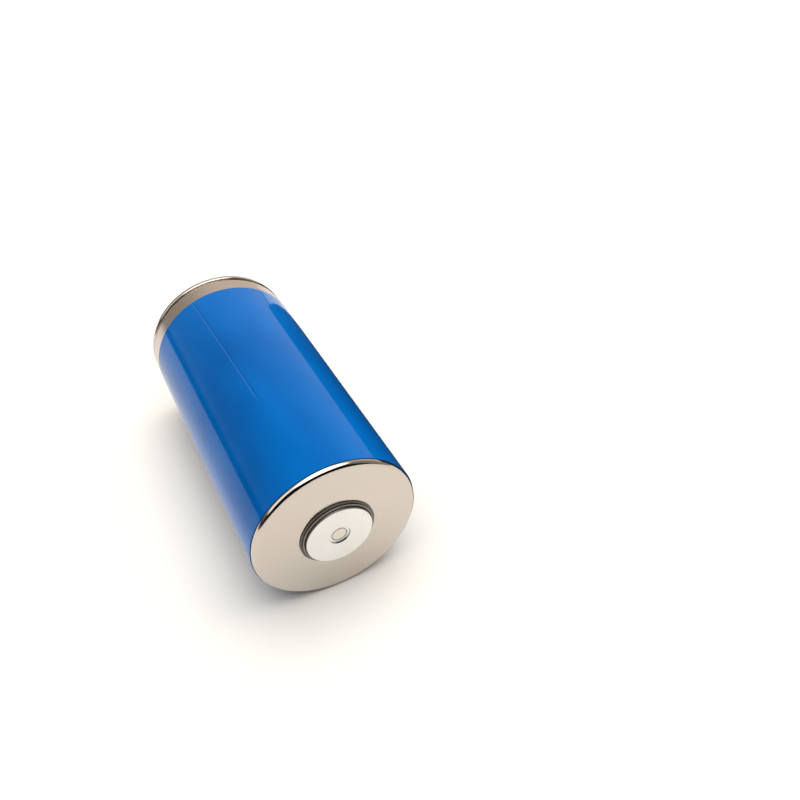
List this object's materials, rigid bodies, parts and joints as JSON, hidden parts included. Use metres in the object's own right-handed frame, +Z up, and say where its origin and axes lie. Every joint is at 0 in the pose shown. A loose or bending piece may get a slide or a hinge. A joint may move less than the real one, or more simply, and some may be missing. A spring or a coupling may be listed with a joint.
{
  "type": "cylindrical battery cell",
  "caption": "Large cylindrical lithium-ion cell with a blue insulating sleeve, a riveted raised terminal on its closed end and a crimped lid on the other.",
  "frame": {"origin": "on the surface that the cell lies on, under the middle of its length, measured over the terminal", "axes": "+Z up, -Y out of the terminal end, +Y out of the crimped end; the cell's own axis runs along Y"},
  "size_m": [0.0464, 0.0966, 0.0464],
  "materials": {
    "nickel_plated_steel": "satin",
    "aluminium": "satin",
    "blue_film": "gloss",
    "black_plastic": "matte",
    "nickel_plated_copper": "satin",
    "copper_foil": "satin",
    "white_plastic": "matte",
    "cathode_coating": "matte",
    "anode_coating": "matte",
    "separator_film": "matte",
    "yellow_tape": "satin"
  },
  "bodies": {
    "root": {"can": "nickel_plated_steel", "insulation_sleeve": "blue_film", "positive_terminal": "aluminium", "fill_plug": "aluminium", "terminal_gasket": "black_plastic", "inner_insulator": "white_plastic", "cathode_collector_plate": "aluminium", "cathode_foil_folds": "aluminium", "inner_separator": "separator_film", "anode_strip": "anode_coating", "outer_separator": "separator_film", "cathode_strip": "cathode_coating", "upper_edge_tape": "yellow_tape", "winding_end_tape": "yellow_tape", "lower_edge_tape": "yellow_tape", "anode_foil_folds": "copper_foil", "anode_collector_plate": "nickel_plated_copper", "lower_insulator": "white_plastic", "crimp_gasket": "black_plastic", "bottom_cap": "nickel_plated_steel"}
  },
  "joints": []
}
